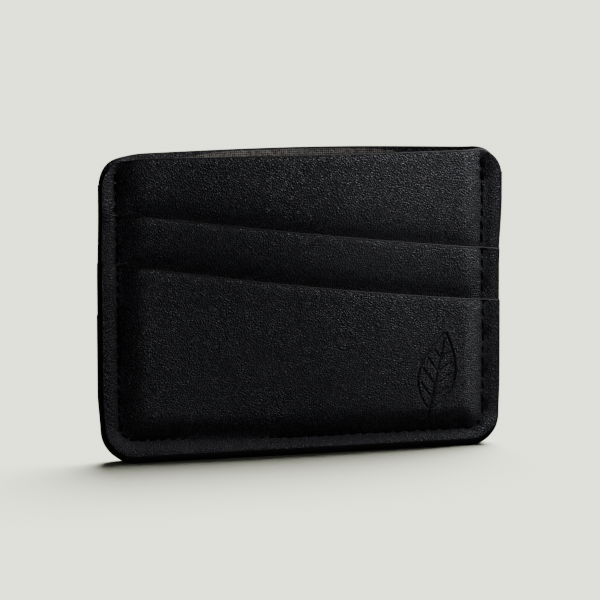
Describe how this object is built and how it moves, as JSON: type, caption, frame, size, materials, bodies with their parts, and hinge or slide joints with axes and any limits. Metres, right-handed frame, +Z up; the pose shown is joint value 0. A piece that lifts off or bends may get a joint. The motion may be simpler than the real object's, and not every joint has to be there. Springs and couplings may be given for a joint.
{
  "type": "card holder",
  "caption": "Slim landscape leather card holder: two slanted card slots on each face, an open centre pocket, rounded corners and a stitched edge.",
  "frame": {"origin": "middle of the bottom edge that it stands on, in the plane where the two halves meet", "axes": "+X along the width, to the right as the front is seen; -Y out of the front face; +Z up, towards the open mouths"},
  "size_m": [0.1, 0.0109, 0.0735],
  "materials": {
    "black_leather": "fine pebbled grain, low sheen",
    "grey_lining": "plain woven, matt",
    "edge_paint": "rounded painted leather edge, satin",
    "seam_thread": "bonded sewing thread, matt"
  },
  "bodies": {
    "root": {"front_panel": "black_leather", "front_panel_lining": "grey_lining", "front_middle_pocket": "black_leather", "front_lower_pocket": "black_leather", "front_panel_edge_paint": "edge_paint", "front_middle_edge_paint": "edge_paint", "front_lower_edge_paint": "edge_paint", "front_pocket_base_needle_thread": "seam_thread", "front_pocket_base_bobbin_thread": "seam_thread", "rear_panel": "black_leather", "rear_panel_lining": "grey_lining", "rear_middle_pocket": "black_leather", "rear_lower_pocket": "black_leather", "rear_panel_edge_paint": "edge_paint", "rear_middle_edge_paint": "edge_paint", "rear_lower_edge_paint": "edge_paint", "rear_pocket_base_needle_thread": "seam_thread", "rear_pocket_base_bobbin_thread": "seam_thread", "perimeter_edge_paint": "edge_paint", "perimeter_needle_thread": "seam_thread", "perimeter_bobbin_thread": "seam_thread"}
  },
  "joints": []
}
